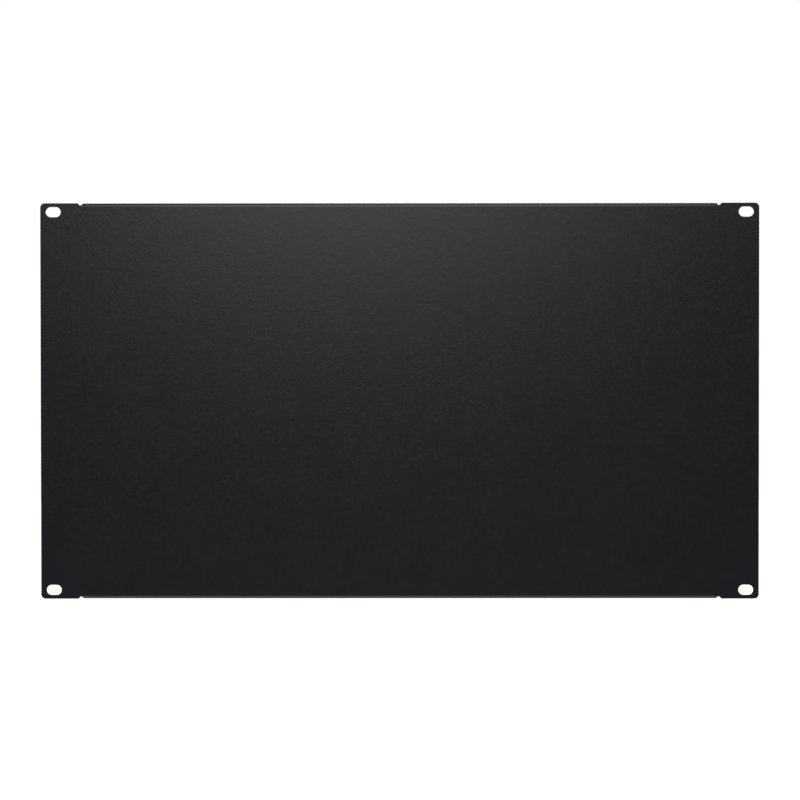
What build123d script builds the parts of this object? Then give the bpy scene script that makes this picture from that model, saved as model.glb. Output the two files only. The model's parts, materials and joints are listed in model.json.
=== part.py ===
from build123d import *
from math import asin, cos, pi, sin
import os

# Rack blanking panel: one sheet of steel, folded back along its top and bottom edges.
# Sizes are in millimetres.
# +X is to the right of someone who faces the panel, +Z is up, and the front looks along -Y.
# The origin lies midway between the four slots, on the plane where the ears seat on the rails.

# Rack standard
rack_unit = 44.45
units_high = 6
panel_width = 482.6
height_allowance = 0.8
slot_from_side = 8.75
slot_from_unit_line = 6.35

# Sheet and folds
sheet = 1.2
inner_bend_radius = 1.2
panel_depth = 12.7

# Ears
ear_width = 26.9
ear_corner_radius = 3.0
slot_length = 10.0
slot_width = 6.8

# Relief notch between each ear and each fold
relief_radius = 1.35
relief_mouth_radius = 0.3

# Rounding left on the cut edges by deburring and coating
edge_radius = 0.2

# Sections through which the notch is carried round the bend
relief_sections = 7

# Sizes that follow from the ones above
panel_height = units_high * rack_unit - height_allowance
slot_spread = panel_width - 2 * slot_from_side
slot_rise = units_high * rack_unit - 2 * slot_from_unit_line
outer_bend_radius = inner_bend_radius + sheet
half_width = panel_width / 2
half_height = panel_height / 2
fold_end = half_width - ear_width
flange_end = fold_end - relief_radius
front_y = -sheet
bend_axis_y = front_y + outer_bend_radius
bend_axis_z = half_height - outer_bend_radius
free_edge_y = front_y + panel_depth


def folded_sheet():
    """The middle of the sheet, seen in section as a shallow C that opens to the back."""
    with BuildPart() as middle:
        with BuildSketch(Plane.YZ):
            with BuildLine():
                FilletPolyline(
                    (free_edge_y, -half_height),
                    (front_y, -half_height),
                    (front_y, half_height),
                    (free_edge_y, half_height),
                    radius=outer_bend_radius,
                )
                offset(amount=sheet, side=Side.RIGHT)
            make_face()
        extrude(amount=fold_end, both=True)
    return middle.part


def flange_setback():
    """Block that shortens the top flange's right end to the far side of the notch."""
    flange_run = free_edge_y - bend_axis_y
    block = Box(relief_radius, flange_run, outer_bend_radius, align=Align.MIN)
    return block.moved(Location((flange_end, bend_axis_y, bend_axis_z)))


def bend_relief():
    """The notch's half in the top right bend, cut square to the sheet as it turns.

    The notch is a round hole in the flat sheet, so it wraps round the bend. Each section holds
    what is cut away at one distance from the ear: all that lies past the notch's edge there.
    """
    mid_bend_radius = inner_bend_radius + sheet / 2
    lowest_angle = asin((outer_bend_radius - relief_radius) / outer_bend_radius)
    reach = 2 * outer_bend_radius
    sections = []
    for number in range(relief_sections):
        turn = pi / 2 * number / (relief_sections - 1)
        x = fold_end - relief_radius * cos(turn)
        angle = lowest_angle + relief_radius * (1 - sin(turn)) / mid_bend_radius
        rim_y = bend_axis_y - reach * cos(angle)
        rim_z = bend_axis_z + reach * sin(angle)
        with BuildSketch(Plane.YZ.offset(x)) as section:
            with BuildLine():
                Polyline(
                    (bend_axis_y, bend_axis_z),
                    (rim_y, rim_z),
                    (bend_axis_y, bend_axis_z + reach),
                    close=True,
                )
            make_face()
        sections.append(section.sketch)
    return loft(sections)


def folded_middle():
    """The folded sheet with its share of each notch cut away and its free edges rounded."""
    top_right = flange_setback() + bend_relief()
    right = top_right + mirror(top_right, about=Plane.XY)
    middle = folded_sheet() - right - mirror(right, about=Plane.YZ)
    free_edges = middle.edges().group_by(Axis.Y)[-1]
    return middle.fillet(edge_radius, free_edges)


def ear_outline():
    """Outline of the right ear: round outer corners, its half of each notch and two slots."""
    with BuildSketch(Plane.XZ) as outline:
        with Locations((fold_end, 0)):
            Rectangle(ear_width, panel_height, align=(Align.MIN, Align.CENTER))
        outer_corners = outline.vertices().group_by(Axis.X)[-1]
        fillet(outer_corners, radius=ear_corner_radius)
        with Locations((fold_end, half_height), (fold_end, -half_height)):
            Circle(relief_radius, mode=Mode.SUBTRACT)
        notch_mouths = outline.vertices().group_by(Axis.X)[1]
        fillet(notch_mouths, radius=relief_mouth_radius)
        with Locations((slot_spread / 2, slot_rise / 2), (slot_spread / 2, -slot_rise / 2)):
            SlotOverall(slot_length, slot_width, mode=Mode.SUBTRACT)
    return outline.sketch


def right_ear():
    """One flat ear, its cut edges and slot rims rounded front and back."""
    with BuildPart() as ear:
        extrude(ear_outline(), amount=sheet)
        rims = ear.edges().filter_by(Plane.XZ)
        seam = rims.group_by(Axis.X)[0]
        fillet(rims - seam, radius=edge_radius)
    return ear.part


def build():
    ear = right_ear()
    return folded_middle() + ear + mirror(ear, about=Plane.YZ)


os.makedirs("parts", exist_ok=True)
panel = build()
export_step(panel, "parts/folded_panel.step")
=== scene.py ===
import json
from math import asin, cos, pi, radians, sin

import bmesh
import bpy
from bpy.props import (
    FloatProperty,
    FloatVectorProperty,
    IntProperty,
    PointerProperty,
)
from bpy.types import Operator, Panel, PropertyGroup
from mathutils import Matrix, Vector


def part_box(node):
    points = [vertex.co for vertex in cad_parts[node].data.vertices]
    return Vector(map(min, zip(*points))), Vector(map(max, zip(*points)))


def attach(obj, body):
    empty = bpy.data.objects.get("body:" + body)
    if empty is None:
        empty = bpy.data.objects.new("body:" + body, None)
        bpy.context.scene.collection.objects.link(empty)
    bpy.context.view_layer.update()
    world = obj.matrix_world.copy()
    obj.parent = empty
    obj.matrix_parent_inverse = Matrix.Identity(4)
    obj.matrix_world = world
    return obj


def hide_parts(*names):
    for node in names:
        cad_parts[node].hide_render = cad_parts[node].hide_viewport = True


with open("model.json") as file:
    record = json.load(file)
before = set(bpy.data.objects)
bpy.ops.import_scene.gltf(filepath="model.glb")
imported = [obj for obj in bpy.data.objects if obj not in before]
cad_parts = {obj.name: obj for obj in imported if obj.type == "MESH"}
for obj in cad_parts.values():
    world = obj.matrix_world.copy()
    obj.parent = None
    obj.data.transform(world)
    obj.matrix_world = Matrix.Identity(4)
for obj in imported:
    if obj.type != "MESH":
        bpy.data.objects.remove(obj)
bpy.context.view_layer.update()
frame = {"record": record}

bl_info = {
    "name": "Rack Blanking Panel",
    "version": (1, 0, 0),
    "blender": (4, 5, 0),
    "location": "View3D > Sidebar > Rack Panel",
    "description": "Folds, coats and lights a plain blanking panel for an equipment rack",
    "category": "Object",
}

# The frame's own sizes, in metres: the front looks along -Y and the ears seat on y = 0.
SHEET_NODE = "folded_panel"
node_low, node_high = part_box(SHEET_NODE)
slots_mount = next(m for m in frame["record"]["mounts"] if m["name"] == "rack_slots")

# Lengths far below any of the sheet's, in metres: the step over which a slope is measured, the
# play when levels are compared, and the distance at which a cut passes through a point.
SLOPE_STEP = 2e-6
LEVEL_PLAY = 1e-6
CUT_MEETS = 1e-7

# Where folding leaves less than this share of a small block, its facing can't be worked out.
LEAST_LEFT = 1e-6

# Parts of the noise's range, from nought to one, that are spread over the whole of an effect's.
FLECK_RANGE = (0.28, 0.72)
PATCH_RANGE = (0.3, 0.7)

# How far a direction points away from the camera, from nought to one, as the room that the
# coat mirrors turns from dim to white.
ROOM_WHITENS = (0.2, 0.8)

# Distances from the floor's middle, in metres, over which it turns white for the camera, and over
# which a painted pool of light, seen only in the coat's reflections, fades out.
FLOOR_WHITENS = (0.5, 1.15)
PAINTED_POOL_FADES = (0.3, 0.9)

# Each soft box: its name, place, aim, width and height, and the setting that holds its power.
SOFT_BOXES = (
    ("high_soft_box", (-0.07, -1.19, 0.585), (0.0, 0.0, 0.08), (0.5, 0.9), "key_power"),
    ("near_soft_box", (0.0, -0.4, 0.48), (0.0, 0.0, -0.03), (0.62, 0.62), "near_power"),
    ("rear_soft_box", (0.3, 1.4, 0.5), (0.0, 0.0, 0.0), (0.8, 0.8), "rear_power"),
)


def millimetres(value):
    """A length in metres, given in millimetres."""
    return value / 1000


def length(name, description, default):
    """A size that a user may change, shown as a length."""
    return FloatProperty(
        name=name,
        description=description,
        default=default,
        min=0.0,
        precision=5,
        subtype="DISTANCE",
        unit="LENGTH",
    )


def share(name, description, default, most=1.0):
    """A plain number from nought to a highest value."""
    return FloatProperty(name=name, description=description, default=default, min=0.0, max=most)


def divisions(name, description, default, least, most):
    """A count of strips, steps or sides."""
    return IntProperty(name=name, description=description, default=default, min=least, max=most)


def lamp_power(name, description, default):
    """The power of a lamp."""
    return FloatProperty(name=name, description=description, default=default, min=0.0, unit="POWER")


def angle(name, description, degrees):
    """A turn of the camera, given in degrees."""
    return FloatProperty(
        name=name,
        description=description,
        default=radians(degrees),
        subtype="ANGLE",
        unit="ROTATION",
    )


def colour(name, description, default):
    """A plain colour."""
    return FloatVectorProperty(
        name=name,
        description=description,
        default=default,
        min=0.0,
        max=1.0,
        size=3,
        subtype="COLOR",
    )


class PanelSizes(PropertyGroup):
    """Sizes of the folded sheet."""

    width: length("Width", "Width over both ears", node_high.x - node_low.x)
    height: length("Height", "Height over both folds", node_high.z - node_low.z)
    depth: length("Depth", "Depth from the front to the free edges", node_high.y - node_low.y)
    sheet: length("Sheet", "Thickness of the coated sheet", -node_low.y)
    bend_radius: length("Inner bend radius", "Radius inside each fold", millimetres(1.2))
    ear_width: length("Ear width", "Width of the flat ear beside the folds", millimetres(26.9))
    ear_corner: length("Ear corner", "Radius of the ears' outer corners", millimetres(3.0))
    relief: length("Relief notch", "Radius of the notch between ear and fold", millimetres(1.35))
    relief_mouth: length("Notch mouth", "Rounding where the notch opens", millimetres(0.3))
    flange_corner: length("Flange corner", "Radius of the flanges' corners", millimetres(0.3))
    slot_spread: length(
        "Slot spread",
        "Distance across between the slots' middles",
        millimetres(slots_mount["dims"]["spacing_x_mm"]),
    )
    slot_rise: length(
        "Slot rise",
        "Distance up between the slots' middles",
        millimetres(slots_mount["dims"]["spacing_y_mm"]),
    )
    slot_length: length(
        "Slot length",
        "Length of each slot over its round ends",
        millimetres(slots_mount["dims"]["slot_length_mm"]),
    )
    slot_width: length(
        "Slot width",
        "Width of each slot",
        millimetres(2 * slots_mount["dims"]["hole_r_mm"]),
    )
    edge_round: length("Edge rounding", "Rounding of the coated cut edges", millimetres(0.2))


class MeshFineness(PropertyGroup):
    """How finely the round parts of the sheet are divided."""

    bend_rows: divisions("Bend rows", "Strips round each fold", 20, 4, 64)
    twist_columns: divisions("Twist columns", "Strips across the twist by each notch", 8, 2, 32)
    slot_steps: divisions("Slot steps", "Steps round each slot end", 28, 8, 96)
    corner_steps: divisions("Corner steps", "Steps round each large corner", 14, 4, 64)
    small_steps: divisions("Small steps", "Steps round each small corner", 4, 2, 32)
    edge_steps: divisions("Edge steps", "Steps across each rounded edge", 4, 2, 12)


class CoatLook(PropertyGroup):
    """Colour, gloss and texture of the powder coat, and a painted sheen on its edges."""

    black: colour("Black", "Colour of the coat", (0.0104, 0.0117, 0.0142))
    # These two set the paler colour of a painted sheen on the edges and how far it shows; the
    # thinner coat there only makes the edges glossier.
    edge_painted_sheen: colour("Edge black", "Colour of the coat on an edge", (0.018, 0.018, 0.019))
    edge_sheen_share: share("Edge share", "How far an edge takes on its own colour", 0.8)
    edge_gloss: share("Edge gloss", "How much less matt the coat is on an edge", 0.07)
    roughness: share("Roughness", "How matt the coat is", 0.30)
    roughness_drift: share("Roughness drift", "Slow change of gloss over the sheet", 0.02)
    colour_drift: share("Colour drift", "Slow change of colour over the sheet", 0.03)
    grain: length("Grain", "Size of the powder's fine grain", millimetres(0.9))
    peel: length("Peel", "Size of the coat's soft waves", millimetres(3.0))
    grain_height: length("Grain height", "Height of the powder's grain", millimetres(0.008))
    peel_share: share("Peel share", "Height of the soft waves against the grain", 5.4, 20.0)
    fleck: length("Fleck", "Size of the paler and darker flecks", millimetres(2.3))
    fleck_depth: share("Fleck depth", "How far the flecks leave the coat's colour", 0.10)
    fleck_matt: share("Fleck matt", "How much more matt the palest flecks are", 0.03)
    drift: length("Drift", "Size of the slow patches", millimetres(38))


class StageLook(PropertyGroup):
    """Floor, lamps and camera."""

    floor_drop: length("Floor drop", "Height from the floor to the panel's middle", 0.46)
    floor_radius: length("Floor radius", "Radius of the round floor", 7.0)
    floor_sides: divisions("Floor sides", "Sides of the round floor", 96, 16, 256)
    floor_colour: colour("Floor colour", "Colour of the floor", (0.8, 0.8, 0.8))
    floor_drift: share("Floor drift", "How much darker the floor's slow patches are", 0.03)
    floor_patch: length("Floor patch", "Size of the floor's slow patches", 1.5)
    floor_roughness: share("Floor roughness", "How matt the floor is", 0.7)
    floor_glow: share("Floor glow", "White that the camera sees added near the panel", 0.5)
    # A painted pool of light near the panel: a glow on the floor that only the coat's reflections
    # see.
    floor_painted_pool: share("Floor mirrored", "White that the coat mirrors from below", 1.0)
    key_power: lamp_power("Key power", "Power of the high soft box", 2.85)
    near_power: lamp_power("Near power", "Power of the near soft box", 2.0)
    rear_power: lamp_power("Rear power", "Power of the rear soft box", 8.0)
    key_colour: colour("Key colour", "Colour of the soft boxes", (1.0, 0.97, 0.93))
    fill_level: share("Fill level", "Light that comes from all round", 0.14, 4.0)
    fill_colour: colour("Fill colour", "Colour of the light from all round", (0.93, 0.96, 1.0))
    dim_room: share("Dim room", "What the coat mirrors from in front", 0.08, 4.0)
    lens: FloatProperty(
        name="Lens", description="Focal length in millimetres", default=107.11, min=10.0
    )
    sensor: FloatProperty(
        name="Sensor", description="Width of the sensor in millimetres", default=36.0, min=1.0
    )
    camera_place: FloatVectorProperty(
        name="Camera place",
        description="Where the camera stands",
        default=(0.00798, -1.6, 0.02405),
        precision=5,
        subtype="TRANSLATION",
        unit="LENGTH",
    )
    yaw: angle("Yaw", "Turn of the camera to the right", -0.277)
    pitch: angle("Pitch", "Turn of the camera upwards", -0.837)
    roll: angle("Roll", "Tilt of the camera about its own axis", -0.038)


def arc(centre, radius, start, end, steps):
    """Points along an arc on the flat sheet, both ends included."""
    turns = [start + (end - start) * step / steps for step in range(steps + 1)]
    return [Vector((centre[0] + radius * cos(a), centre[1] + radius * sin(a))) for a in turns]


class FlatSheet:
    """The cut sheet before it is folded, and how each point of it moves when it is.

    A place on it is (x, y, z): x across, y through the sheet from the front, and z up along the
    sheet's middle. Only the folds make z differ from the height.
    """

    def __init__(self, sizes, fineness):
        self.sizes = sizes
        self.fineness = fineness
        self.half_width = sizes.width / 2
        self.half_height = sizes.height / 2
        self.front = -sizes.sheet
        self.outer_bend = sizes.bend_radius + sizes.sheet
        self.middle_bend = sizes.bend_radius + sizes.sheet / 2
        self.fold_end = self.half_width - sizes.ear_width
        self.flange_end = self.fold_end - sizes.relief
        self.bend_start = self.half_height - self.outer_bend
        self.bend_run = self.middle_bend * pi / 2
        self.bend_axis = self.front + self.outer_bend
        flange_run = self.front + sizes.depth - self.bend_axis
        self.free_edge = self.bend_start + self.bend_run + flange_run

    def quarter_outline(self):
        """Top right quarter of the outline, from the ear's outer side to the top flange."""
        s = self.sizes
        steps = self.fineness.corner_steps
        few = self.fineness.small_steps
        ear_centre = (self.half_width - s.ear_corner, self.half_height - s.ear_corner)
        points = arc(ear_centre, s.ear_corner, 0, pi / 2, steps)

        mouth_reach = s.relief + s.relief_mouth
        mouth_turn = asin(s.relief_mouth / mouth_reach)
        mouth_centre = (
            self.fold_end + mouth_reach * cos(mouth_turn),
            self.half_height - s.relief_mouth,
        )
        points += arc(mouth_centre, s.relief_mouth, pi / 2, pi - mouth_turn, few)

        notch_centre = (self.fold_end, self.half_height)
        ear_side = arc(notch_centre, s.relief, -mouth_turn, -pi / 2, steps)
        fold_side = arc(notch_centre, s.relief, -pi / 2, -pi, steps)
        points += ear_side[1:] + [self.moved_by_bend(point) for point in fold_side[1:]]

        corner_centre = (self.flange_end - s.flange_corner, self.free_edge - s.flange_corner)
        points += arc(corner_centre, s.flange_corner, 0, pi / 2, few)
        return points

    def moved_by_bend(self, point):
        """The notch's edge where the sheet turns: the bend gives the front more height."""
        lowest_turn = asin((self.outer_bend - self.sizes.relief) / self.outer_bend)
        gain = self.outer_bend * sin(lowest_turn) - self.middle_bend * lowest_turn
        into_fold = (self.fold_end - point.x) / self.sizes.relief
        return Vector((point.x, point.y - gain * into_fold))

    def outline(self):
        """The whole outline, anticlockwise as seen from the front."""
        top_right = self.quarter_outline()
        top_left = [Vector((-p.x, p.y)) for p in reversed(top_right)]
        bottom_left = [Vector((-p.x, -p.y)) for p in top_right]
        bottom_right = [Vector((p.x, -p.y)) for p in reversed(top_right)]
        return top_right + top_left + bottom_left + bottom_right

    def slot(self, side, level):
        """One slot's edge, clockwise, so that the metal lies to its left."""
        s = self.sizes
        radius = s.slot_width / 2
        reach = (s.slot_length - s.slot_width) / 2
        x = side * s.slot_spread / 2
        z = level * s.slot_rise / 2
        steps = self.fineness.slot_steps
        right = arc((x + reach, z), radius, pi / 2, -pi / 2, steps)
        left = arc((x - reach, z), radius, -pi / 2, -3 * pi / 2, steps)
        return right + left

    def loops(self):
        """The outline and the four slots' edges."""
        corners = [(1, 1), (-1, 1), (-1, -1), (1, -1)]
        return [self.outline()] + [self.slot(side, level) for side, level in corners]

    def fold(self, place):
        """Where a place on the flat sheet lies once the edges are folded back."""
        x, y, z = place
        past_start = abs(z) - self.bend_start
        flat = Vector((x, self.front + y, z))
        if past_start <= 0 or abs(x) >= self.fold_end:
            return flat
        turn = min(past_start / self.middle_bend, pi / 2)
        radius = self.outer_bend - y
        beyond = max(past_start - self.bend_run, 0)
        folded_y = self.bend_axis - radius * cos(turn) + beyond
        folded_z = self.bend_start + radius * sin(turn)
        folded = Vector((x, folded_y, folded_z if z > 0 else -folded_z))
        into_fold = min((self.fold_end - abs(x)) / self.sizes.relief, 1)
        part = into_fold * into_fold * (3 - 2 * into_fold)
        return flat.lerp(folded, part)

    def fold_facing(self, place, facing):
        """The direction that the surface faces there after folding."""
        h = SLOPE_STEP
        nudges = [Vector((h, 0, 0)), Vector((0, h, 0)), Vector((0, 0, h))]
        moves = [(self.fold(place + d) - self.fold(place - d)) / (2 * h) for d in nudges]
        carried = Matrix(moves).transposed()
        if abs(carried.determinant()) < LEAST_LEFT:
            return facing
        return (carried.inverted().transposed() @ facing).normalized()


def moved_into_metal(loop, distance):
    """A loop moved into the metal on its left, each run kept parallel to itself."""
    moved = []
    for index, point in enumerate(loop):
        before = (point - loop[index - 1]).normalized()
        after = (loop[(index + 1) % len(loop)] - point).normalized()
        left_before = Vector((-before.y, before.x))
        left_after = Vector((-after.y, after.x))
        middle = (left_before + left_after).normalized()
        moved.append((point + middle * (distance / middle.dot(left_before)), -middle))
    return moved


def edge_profile(sheet_thickness, radius, steps):
    """Steps over the sheet's cut edge: inset, depth, how far it faces out, and which way."""
    front_half = []
    for step in range(steps + 1):
        turn = pi / 2 * step / steps
        front_half.append((radius * (1 - sin(turn)), radius * (1 - cos(turn)), turn))
    over_front = [(inset, depth, sin(turn), -cos(turn)) for inset, depth, turn in front_half]
    over_back = [
        (inset, sheet_thickness - depth, sin(turn), cos(turn))
        for inset, depth, turn in reversed(front_half)
    ]
    return over_front + over_back


def cut_flat_sheet(sheet):
    """Mesh of the flat sheet, with rounded edges, and its facings and edge marks stored."""
    mesh = bmesh.new()
    facing_layer = mesh.verts.layers.float_vector.new("flat_facing")
    edge_layer = mesh.verts.layers.float.new("edge_coat")
    profile = edge_profile(sheet.sizes.sheet, sheet.sizes.edge_round, sheet.fineness.edge_steps)
    front_edges = []
    back_edges = []
    for loop in sheet.loops():
        rings = []
        for inset, depth, outward, backward in profile:
            ring = []
            for point, out in moved_into_metal(loop, inset):
                vertex = mesh.verts.new((point.x, depth, point.y))
                vertex[facing_layer] = Vector((out.x * outward, backward, out.y * outward))
                # How far the edge faces out: the mask for the thinner coat's gloss and for the
                # painted sheen's paler colour.
                vertex[edge_layer] = outward
                ring.append(vertex)
            rings.append(ring)
        count = len(loop)
        for ring, next_ring in zip(rings, rings[1:]):
            for index in range(count):
                following = (index + 1) % count
                mesh.faces.new(
                    (ring[index], ring[following], next_ring[following], next_ring[index])
                )
        for edges, ring in ((front_edges, rings[0]), (back_edges, rings[-1])):
            for index in range(count):
                edges.append(mesh.edges.get((ring[index], ring[(index + 1) % count])))
    # The two flat faces, each between the outline and the slots.
    for edges, facing in ((front_edges, (0, -1, 0)), (back_edges, (0, 1, 0))):
        bmesh.ops.triangle_fill(mesh, use_beauty=True, edges=edges, normal=facing)
    bmesh.ops.recalc_face_normals(mesh, faces=mesh.faces)
    return mesh


def cut_line(mesh, place, across, wanted=None):
    """Divides the faces along a plane, so that the sheet can bend there."""
    faces = [face for face in mesh.faces if wanted is None or wanted(face)]
    edges = {edge for face in faces for edge in face.edges}
    verts = {vert for face in faces for vert in face.verts}
    bmesh.ops.bisect_plane(
        mesh,
        geom=list(verts) + list(edges) + faces,
        dist=CUT_MEETS,
        plane_co=place,
        plane_no=across,
    )


def divide_for_folding(mesh, sheet):
    """Rows round each fold, and columns across the twist beside each notch."""
    rows = sheet.fineness.bend_rows
    for row in range(rows + 1):
        level = sheet.bend_start + sheet.bend_run * row / rows
        for side in (1, -1):
            cut_line(mesh, (0, 0, side * level), (0, 0, 1))

    low_limit = sheet.bend_start - LEVEL_PLAY
    high_limit = sheet.bend_start + sheet.bend_run + LEVEL_PLAY

    def in_fold(face):
        levels = [abs(vert.co.z) for vert in face.verts]
        return min(levels) > low_limit and max(levels) < high_limit

    columns = sheet.fineness.twist_columns
    for column in range(columns + 1):
        place = sheet.fold_end - sheet.sizes.relief * column / columns
        for side in (1, -1):
            cut_line(mesh, (side * place, 0, 0), (1, 0, 0), in_fold)


def fold_edges_back(mesh, sheet):
    """Folds the divided sheet and returns the direction that each vertex faces."""
    facing_layer = mesh.verts.layers.float_vector["flat_facing"]
    facings = []
    for vertex in mesh.verts:
        place = vertex.co.copy()
        facing = Vector(vertex[facing_layer]).normalized()
        facings.append(sheet.fold_facing(place, facing))
        vertex.co = sheet.fold(place)
    return facings


def node(tree, kind, place, **settings):
    """A node at a place in the tree, with its settings."""
    made = tree.nodes.new(kind)
    made.location = place
    for name, value in settings.items():
        setattr(made, name, value)
    return made


def sums(tree, operation, place, first, second):
    """A Math node fed by two links or numbers."""
    made = node(tree, "ShaderNodeMath", place, operation=operation)
    for socket, value in zip(made.inputs, (first, second)):
        if isinstance(value, (int, float)):
            socket.default_value = value
        else:
            tree.links.new(value, socket)
    return made.outputs[0]


def blended(tree, place, factor, first, second):
    """A colour between two others, each a link or a plain colour."""
    made = node(tree, "ShaderNodeMix", place, data_type="RGBA")
    # The node has sockets for every kind of value: these are its factor and its two colours.
    sockets = (made.inputs[0], made.inputs[6], made.inputs[7])
    for socket, value in zip(sockets, (factor, first, second)):
        if isinstance(value, bpy.types.NodeSocket):
            tree.links.new(value, socket)
        elif socket.type == "RGBA":
            socket.default_value = (*value, 1.0)
        else:
            socket.default_value = value
    return made.outputs[2]


def seen_rays(tree, place):
    """Light Path, and a mask of the rays that show the background itself."""
    path = node(tree, "ShaderNodeLightPath", place)
    beside = (place[0] + 200, place[1])
    camera_rays = path.outputs["Is Camera Ray"]
    through_rays = path.outputs["Is Transmission Ray"]
    return path, sums(tree, "MAXIMUM", beside, camera_rays, through_rays)


def ramp(tree, place, value, start=0.0, end=1.0, low=0.0, high=1.0, shape="SMOOTHSTEP"):
    """A change from a low to a high value as a measure goes from start to end."""
    made = node(tree, "ShaderNodeMapRange", place, interpolation_type=shape)
    tree.links.new(value, made.inputs["Value"])
    for name, number in (("From Min", start), ("From Max", end), ("To Min", low), ("To Max", high)):
        made.inputs[name].default_value = number
    return made.outputs[0]


def effect_group(name, inputs, outputs):
    """An empty node group with named sockets."""
    tree = bpy.data.node_groups.new(name, "ShaderNodeTree")
    for socket_name, kind in inputs:
        tree.interface.new_socket(name=socket_name, in_out="INPUT", socket_type=kind)
    for socket_name, kind in outputs:
        tree.interface.new_socket(name=socket_name, in_out="OUTPUT", socket_type=kind)
    entry = node(tree, "NodeGroupInput", (-900, 0))
    leave = node(tree, "NodeGroupOutput", (700, 0))
    return tree, entry, leave


def noise_of(tree, entry, size, place, detail, roughness):
    """Noise of the size that the group's input of that name gives."""
    scale = sums(tree, "DIVIDE", (place[0] - 250, place[1]), 1.0, entry.outputs[size])
    noise = node(tree, "ShaderNodeTexNoise", place, noise_dimensions="3D")
    noise.inputs["Detail"].default_value = detail
    noise.inputs["Roughness"].default_value = roughness
    tree.links.new(entry.outputs["Place"], noise.inputs["Vector"])
    tree.links.new(scale, noise.inputs["Scale"])
    return noise.outputs[0]


def make_powder_grain_group():
    """Fine grain on soft waves, as powder leaves them when it melts and flows, and its flecks."""
    tree, entry, leave = effect_group(
        "powder_grain",
        [
            ("Place", "NodeSocketVector"),
            ("Grain", "NodeSocketFloat"),
            ("Peel", "NodeSocketFloat"),
            ("Peel Share", "NodeSocketFloat"),
            ("Fleck", "NodeSocketFloat"),
        ],
        [("Height", "NodeSocketFloat"), ("Fleck", "NodeSocketFloat")],
    )

    grain = noise_of(tree, entry, "Grain", (-400, 250), detail=2.0, roughness=0.5)
    peel = noise_of(tree, entry, "Peel", (-400, -50), detail=2.0, roughness=0.5)
    fleck = noise_of(tree, entry, "Fleck", (-400, -350), detail=3.0, roughness=0.65)
    waves = sums(tree, "MULTIPLY", (-100, -50), peel, entry.outputs["Peel Share"])
    height = sums(tree, "ADD", (150, 50), grain, waves)
    tree.links.new(height, leave.inputs["Height"])
    flecks = ramp(tree, (150, -350), fleck, *FLECK_RANGE)
    tree.links.new(flecks, leave.inputs["Fleck"])
    return tree


def make_slow_drift_group():
    """Large soft patches where a finish is a little glossier or paler."""
    tree, entry, leave = effect_group(
        "slow_drift",
        [("Place", "NodeSocketVector"), ("Patch", "NodeSocketFloat")],
        [("Drift", "NodeSocketFloat")],
    )
    patches = noise_of(tree, entry, "Patch", (-400, 0), detail=4.0, roughness=0.6)
    drift = ramp(tree, (0, 0), patches, *PATCH_RANGE, shape="LINEAR")
    tree.links.new(drift, leave.inputs["Drift"])
    return tree


def effect_groups():
    """The two shared effects, made once."""
    grain = bpy.data.node_groups.get("powder_grain") or make_powder_grain_group()
    drift = bpy.data.node_groups.get("slow_drift") or make_slow_drift_group()
    return grain, drift


def make_powder_coat(look):
    """Satin black powder coat: grain, soft waves, slow patches, a thinner and glossier coat on the
    edges, and a painted sheen that makes the edges paler.
    """
    grain_group, drift_group = effect_groups()
    material = bpy.data.materials.new("powder_coat_black")
    material.use_nodes = True
    tree = material.node_tree
    shader = tree.nodes["Principled BSDF"]
    place = node(tree, "ShaderNodeTexCoord", (-1400, 0)).outputs["Object"]

    grain = node(tree, "ShaderNodeGroup", (-1100, -200), node_tree=grain_group)
    tree.links.new(place, grain.inputs["Place"])
    grain.inputs["Grain"].default_value = look.grain
    grain.inputs["Peel"].default_value = look.peel
    grain.inputs["Peel Share"].default_value = look.peel_share
    grain.inputs["Fleck"].default_value = look.fleck

    drift = node(tree, "ShaderNodeGroup", (-1100, 200), node_tree=drift_group)
    tree.links.new(place, drift.inputs["Place"])
    drift.inputs["Patch"].default_value = look.drift

    # The edge mask lowers the roughness for the thinner coat, and mixes in the paler colour of a
    # painted sheen.
    edge = node(tree, "ShaderNodeAttribute", (-1100, 450), attribute_name="edge_coat")
    edge_sheen_part = sums(tree, "MULTIPLY", (-850, 450), edge.outputs["Fac"], look.edge_sheen_share)

    black = tuple(look.black)
    paler = tuple(channel * (1 + 2 * look.colour_drift) for channel in black)
    base = blended(tree, (-600, 350), drift.outputs["Drift"], black, paler)
    darkest = 1 - look.fleck_depth
    lightest = 1 + look.fleck_depth
    fleck_shade = ramp(tree, (-850, 50), grain.outputs["Fleck"], low=darkest, high=lightest)
    shaded = node(tree, "ShaderNodeVectorMath", (-400, 350), operation="SCALE")
    tree.links.new(base, shaded.inputs[0])
    tree.links.new(fleck_shade, shaded.inputs["Scale"])
    base = blended(tree, (-200, 350), edge_sheen_part, shaded.outputs[0], tuple(look.edge_painted_sheen))
    tree.links.new(base, shader.inputs["Base Color"])

    least_rough = look.roughness - look.roughness_drift / 2
    drifting = sums(tree, "MULTIPLY", (-750, 0), drift.outputs["Drift"], look.roughness_drift)
    patch_matt = sums(tree, "ADD", (-600, 0), drifting, least_rough)
    fleck_matt = sums(tree, "MULTIPLY", (-600, -180), grain.outputs["Fleck"], look.fleck_matt)
    face_matt = sums(tree, "ADD", (-400, -60), patch_matt, fleck_matt)
    edge_gloss = sums(tree, "MULTIPLY", (-400, 120), edge.outputs["Fac"], look.edge_gloss)
    matt = sums(tree, "SUBTRACT", (-200, 0), face_matt, edge_gloss)
    tree.links.new(matt, shader.inputs["Roughness"])

    bump = node(tree, "ShaderNodeBump", (-400, -400))
    bump.inputs["Strength"].default_value = 1.0
    bump.inputs["Distance"].default_value = look.grain_height
    tree.links.new(grain.outputs["Height"], bump.inputs["Height"])
    tree.links.new(bump.outputs["Normal"], shader.inputs["Normal"])
    return material


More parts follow.
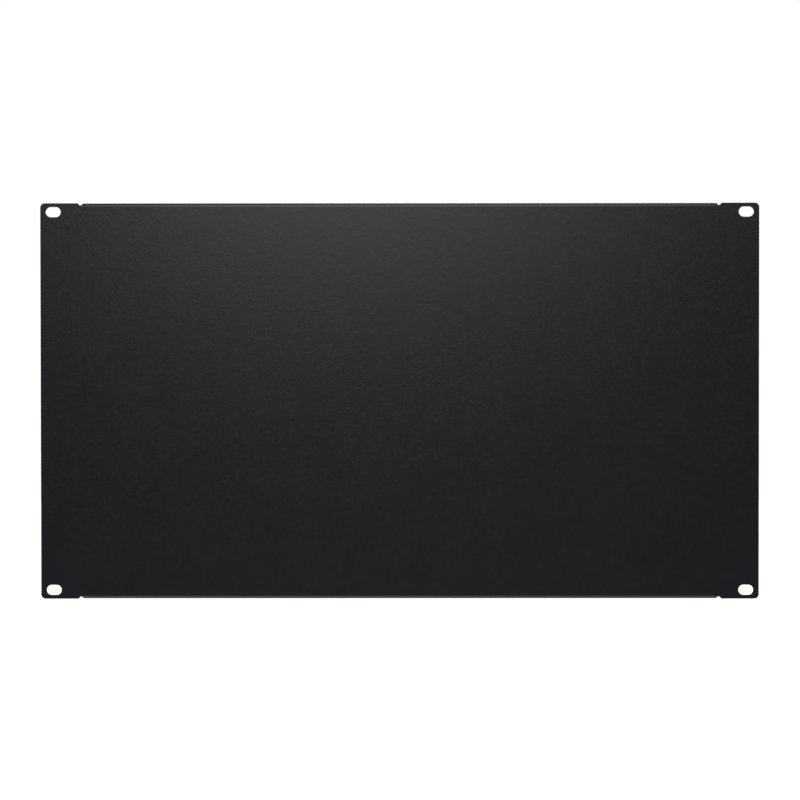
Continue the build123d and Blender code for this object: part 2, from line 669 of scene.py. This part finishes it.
class RACKPANEL_OT_fold_panel(Operator):
    """Cut one sheet with its slots and notches, fold its long edges back and coat it"""

    bl_idname = "rack_panel.fold_panel"
    bl_label = "Fold the Panel"

    def execute(self, context):
        sheet = FlatSheet(context.scene.rack_panel_sizes, context.scene.rack_panel_fineness)
        mesh = cut_flat_sheet(sheet)
        divide_for_folding(mesh, sheet)
        facings = fold_edges_back(mesh, sheet)
        loose = [edge for edge in mesh.edges if len(edge.link_faces) != 2]
        if loose:
            raise RuntimeError(f"the folded sheet is open at {len(loose)} edges")
        data = bpy.data.meshes.new("coated_panel")
        mesh.to_mesh(data)
        mesh.free()
        data.shade_smooth()
        data.normals_split_custom_set_from_vertices(facings)
        data.materials.append(make_powder_coat(context.scene.rack_panel_coat))
        panel = bpy.data.objects.new("coated_panel", data)
        context.scene.collection.objects.link(panel)
        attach(panel, "root")
        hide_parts(SHEET_NODE)
        return {"FINISHED"}


def make_floor_paint(look):
    """Pale floor that turns white for the camera and still shows the panel's shadow, with a painted
    pool of light near the panel that only reflections see.
    """
    drift_group = effect_groups()[1]
    material = bpy.data.materials.new("studio_floor_paint")
    material.use_nodes = True
    # Its glow, the white for the camera and the painted pool of light in reflections, is only seen
    # and mirrored, so no light is looked for there.
    material.cycles.emission_sampling = "NONE"
    tree = material.node_tree
    shader = tree.nodes["Principled BSDF"]
    place = node(tree, "ShaderNodeTexCoord", (-1200, 0)).outputs["Object"]
    drift = node(tree, "ShaderNodeGroup", (-800, 0), node_tree=drift_group)
    tree.links.new(place, drift.inputs["Place"])
    drift.inputs["Patch"].default_value = look.floor_patch
    pale = tuple(look.floor_colour)
    darker = tuple(channel * (1 - look.floor_drift) for channel in pale)
    paint = blended(tree, (-500, 100), drift.outputs["Drift"], pale, darker)
    tree.links.new(paint, shader.inputs["Base Color"])
    shader.inputs["Roughness"].default_value = look.floor_roughness

    reach = node(tree, "ShaderNodeVectorMath", (-1000, -300), operation="LENGTH")
    tree.links.new(place, reach.inputs[0])
    away = reach.outputs["Value"]
    far_white = ramp(tree, (-800, -200), away, *FLOOR_WHITENS, low=look.floor_glow, high=1.0)
    # A painted pool of light round the panel: a glow that only glossy rays see, strongest near the
    # floor's middle.
    painted_pool_strength = ramp(tree, (-800, -400), away, *PAINTED_POOL_FADES, low=look.floor_painted_pool, high=0.0)
    path, seen = seen_rays(tree, (-1000, -600))
    shown = sums(tree, "MULTIPLY", (-400, -300), seen, far_white)
    mirrored = sums(tree, "MULTIPLY", (-400, -450), path.outputs["Is Glossy Ray"], painted_pool_strength)
    shader.inputs["Emission Color"].default_value = (1.0, 1.0, 1.0, 1.0)
    glow = sums(tree, "ADD", (-200, -350), shown, mirrored)
    tree.links.new(glow, shader.inputs["Emission Strength"])
    return material


def lay_floor(context, look):
    """Round plain floor below the panel."""
    mesh = bmesh.new()
    bmesh.ops.create_circle(
        mesh, cap_ends=True, segments=look.floor_sides, radius=look.floor_radius
    )
    data = bpy.data.meshes.new("studio_floor")
    mesh.to_mesh(data)
    mesh.free()
    data.materials.append(make_floor_paint(look))
    floor = bpy.data.objects.new("studio_floor", data)
    floor.location.z = -look.floor_drop
    context.scene.collection.objects.link(floor)


def hang_lamp(context, name, place, aim, size, power, lamp_colour):
    """A rectangular soft box that points at a place."""
    data = bpy.data.lights.new(name, "AREA")
    data.shape = "RECTANGLE"
    data.size, data.size_y = size
    data.energy = power
    data.color = lamp_colour
    lamp = bpy.data.objects.new(name, data)
    lamp.location = place
    lamp.rotation_euler = (Vector(aim) - Vector(place)).to_track_quat("-Z", "Y").to_euler()
    lamp.visible_camera = False
    context.scene.collection.objects.link(lamp)


def light_room(context, look):
    """World: white behind and all round for the camera, plain fill, and a dim side in front."""
    world = bpy.data.worlds.new("studio_room")
    context.scene.world = world
    world.use_nodes = True
    # The fill is even all round, so rays aimed at parts of it would only add noise.
    world.cycles.sampling_method = "NONE"
    tree = world.node_tree
    background = tree.nodes["Background"]
    direction = node(tree, "ShaderNodeTexCoord", (-1200, 0)).outputs["Generated"]
    parts = node(tree, "ShaderNodeSeparateXYZ", (-1000, 0))
    tree.links.new(direction, parts.inputs[0])
    behind = ramp(tree, (-800, 0), parts.outputs["Y"], *ROOM_WHITENS)
    white = (1.0, 1.0, 1.0)
    dim = (look.dim_room,) * 3
    mirrored = blended(tree, (-600, 100), behind, dim, white)
    fill = tuple(channel * look.fill_level for channel in look.fill_colour)
    path, seen = seen_rays(tree, (-800, -300))
    room = blended(tree, (-400, 100), path.outputs["Is Glossy Ray"], fill, mirrored)
    room = blended(tree, (-200, 100), seen, room, white)
    tree.links.new(room, background.inputs["Color"])


def set_camera(context, look):
    """The photograph's viewpoint: a long lens, straight on."""
    yaw, pitch, roll = look.yaw, look.pitch, look.roll
    forward = Vector((sin(yaw) * cos(pitch), cos(yaw) * cos(pitch), sin(pitch)))
    level = forward.cross(Vector((0, 0, 1))).normalized()
    upright = level.cross(forward)
    right = cos(roll) * level + sin(roll) * upright
    up = cos(roll) * upright - sin(roll) * level
    data = bpy.data.cameras.new("photograph_camera")
    data.lens = look.lens
    data.sensor_width = look.sensor
    camera = bpy.data.objects.new("photograph_camera", data)
    turned = Matrix((right, up, -forward)).transposed().to_4x4()
    camera.matrix_world = Matrix.Translation(look.camera_place) @ turned
    context.scene.collection.objects.link(camera)
    context.scene.camera = camera


class RACKPANEL_OT_set_stage(Operator):
    """Place the camera, the floor, the lamps and the room's light"""

    bl_idname = "rack_panel.set_stage"
    bl_label = "Set the Stage"

    def execute(self, context):
        look = context.scene.rack_panel_stage
        context.scene.view_settings.view_transform = "Standard"
        set_camera(context, look)
        lay_floor(context, look)
        light_room(context, look)
        for name, place, aim, size, setting in SOFT_BOXES:
            hang_lamp(context, name, place, aim, size, getattr(look, setting), look.key_colour)
        return {"FINISHED"}


class RACKPANEL_PT_maker(Panel):
    """Steps and sizes for making the panel"""

    bl_idname = "RACKPANEL_PT_maker"
    bl_label = "Rack Blanking Panel"
    bl_space_type = "VIEW_3D"
    bl_region_type = "UI"
    bl_category = "Rack Panel"

    def draw(self, context):
        layout = self.layout
        for step in STEPS:
            layout.operator(step.bl_idname)
        for name, label in GROUP_LABELS:
            group = getattr(context.scene, name)
            box = layout.box()
            box.label(text=label)
            for prop in group.bl_rna.properties:
                if prop.identifier not in {"rna_type", "name"}:
                    box.prop(group, prop.identifier)


STEPS = (RACKPANEL_OT_set_stage, RACKPANEL_OT_fold_panel)
GROUP_LABELS = (
    ("rack_panel_sizes", "Sheet"),
    ("rack_panel_fineness", "Mesh"),
    ("rack_panel_coat", "Powder coat"),
    ("rack_panel_stage", "Stage"),
)
GROUPS = (PanelSizes, MeshFineness, CoatLook, StageLook)
CLASSES = (*GROUPS, *STEPS, RACKPANEL_PT_maker)


def register():
    for kind in CLASSES:
        bpy.utils.register_class(kind)
    for (name, _), kind in zip(GROUP_LABELS, GROUPS):
        setattr(bpy.types.Scene, name, PointerProperty(type=kind))


def unregister():
    for name, _ in GROUP_LABELS:
        delattr(bpy.types.Scene, name)
    for kind in reversed(CLASSES):
        bpy.utils.unregister_class(kind)


def main():
    register()
    bpy.ops.rack_panel.set_stage()
    bpy.ops.rack_panel.fold_panel()


if __name__ == "__main__":
    main()
